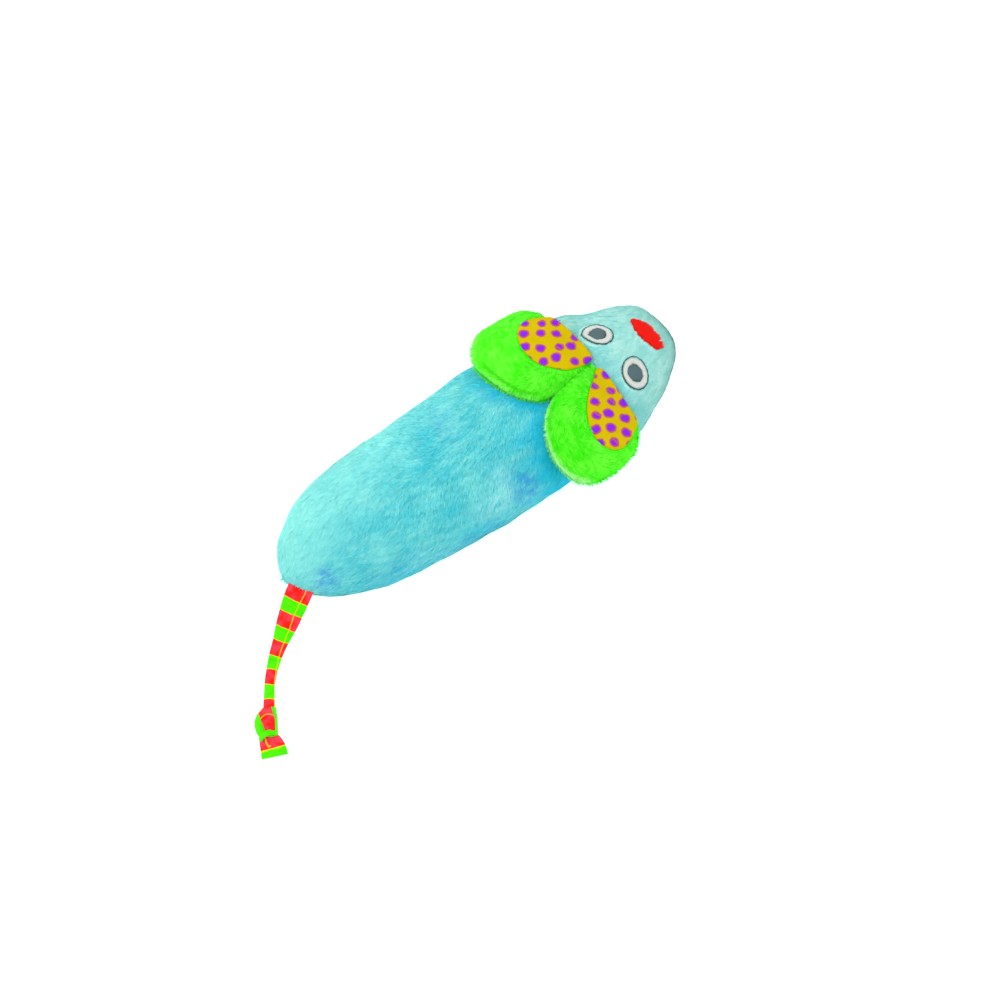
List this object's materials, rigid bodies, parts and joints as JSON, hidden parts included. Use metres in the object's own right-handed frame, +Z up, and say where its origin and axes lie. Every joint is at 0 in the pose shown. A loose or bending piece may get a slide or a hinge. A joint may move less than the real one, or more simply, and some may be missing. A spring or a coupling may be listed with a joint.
{
  "type": "mouse cat toy",
  "caption": "Stuffed plush mouse toy lying on its belly, with padded ears that flap at the neck seam and a striped ribbon tail that bends and ends in a knot.",
  "frame": {"origin": "on the flat of the belly that the toy rests on, on its middle line, under the middle of the body's length", "axes": "+X forward to the snout, +Y to the mouse's left, +Z up"},
  "size_m": [0.2802, 0.1133, 0.05],
  "materials": {
    "body_plush": "short-pile plush, blue",
    "head_plush": "short-pile plush, pale blue",
    "ear_plush": "short-pile plush, bright green",
    "lining_cotton": "plain-weave cotton, yellow with purple dots",
    "ribbon": "woven ribbon, red and green bands with yellow lines",
    "dark_thread": "satin-stitched embroidery thread",
    "white_thread": "satin-stitched embroidery thread",
    "grey_thread": "satin-stitched embroidery thread",
    "red_thread": "satin-stitched embroidery thread",
    "seam_thread": "sewing thread",
    "filling": "polyester fibre filling",
    "pouch_cotton": "muslin pouch"
  },
  "bodies": {
    "root": {"back_panel": "body_plush", "belly_panel": "body_plush", "body_filling": "filling", "catnip_pouch": "pouch_cotton", "body_seam_thread": "seam_thread", "closing_stitches": "seam_thread", "head_top_panel": "head_plush", "head_under_panel": "head_plush", "head_filling": "filling", "head_seam_thread": "seam_thread", "neck_seam_thread": "seam_thread", "nose_patch": "red_thread", "tail_tab": "ribbon", "ear_left_seam_tab": "ear_plush", "eye_left_outline": "dark_thread", "eye_left_white": "white_thread", "eye_left_pupil": "grey_thread", "ear_right_seam_tab": "ear_plush", "eye_right_outline": "dark_thread", "eye_right_white": "white_thread", "eye_right_pupil": "grey_thread"},
    "ear_left": {"ear_left_back": "ear_plush", "ear_left_front": "ear_plush", "ear_left_lining": "lining_cotton", "ear_left_batting": "filling"},
    "ear_right": {"ear_right_back": "ear_plush", "ear_right_front": "ear_plush", "ear_right_lining": "lining_cotton", "ear_right_batting": "filling"},
    "tail_base": {"tail_base": "ribbon"},
    "tail_middle": {"tail_middle": "ribbon"},
    "tail_tip": {"tail_narrow": "ribbon", "tail_knot": "ribbon", "tail_end": "ribbon"}
  },
  "joints": [
    {"name": "ear_left_flap", "type": "hinge", "parent": "root", "child": "ear_left", "pos_m": [0.09235, 0.01846, 0.03475], "axis": [0, 0.9944, -0.106], "range_deg": [0, 110]},
    {"name": "ear_right_flap", "type": "hinge", "parent": "root", "child": "ear_right", "pos_m": [0.09235, -0.01696, 0.03453], "axis": [0, 0.9948, 0.102], "range_deg": [0, 110]},
    {"name": "tail_lift", "type": "hinge", "parent": "root", "child": "tail_base", "pos_m": [-0.08824, -0.00887, 0.01976], "axis": [-0.5716, 0.8205, 0], "range_deg": [0, 70]},
    {"name": "tail_bend", "type": "hinge", "parent": "tail_base", "child": "tail_middle", "pos_m": [-0.103, -0.01913, 0.00837], "axis": [-0.5792, 0.8152, 0], "range_deg": [0, 75]},
    {"name": "tail_swing", "type": "hinge", "parent": "tail_middle", "child": "tail_tip", "pos_m": [-0.12228, -0.03634, 0.00262], "axis": [0, 0, 1], "range_deg": [-50, 50]}
  ]
}
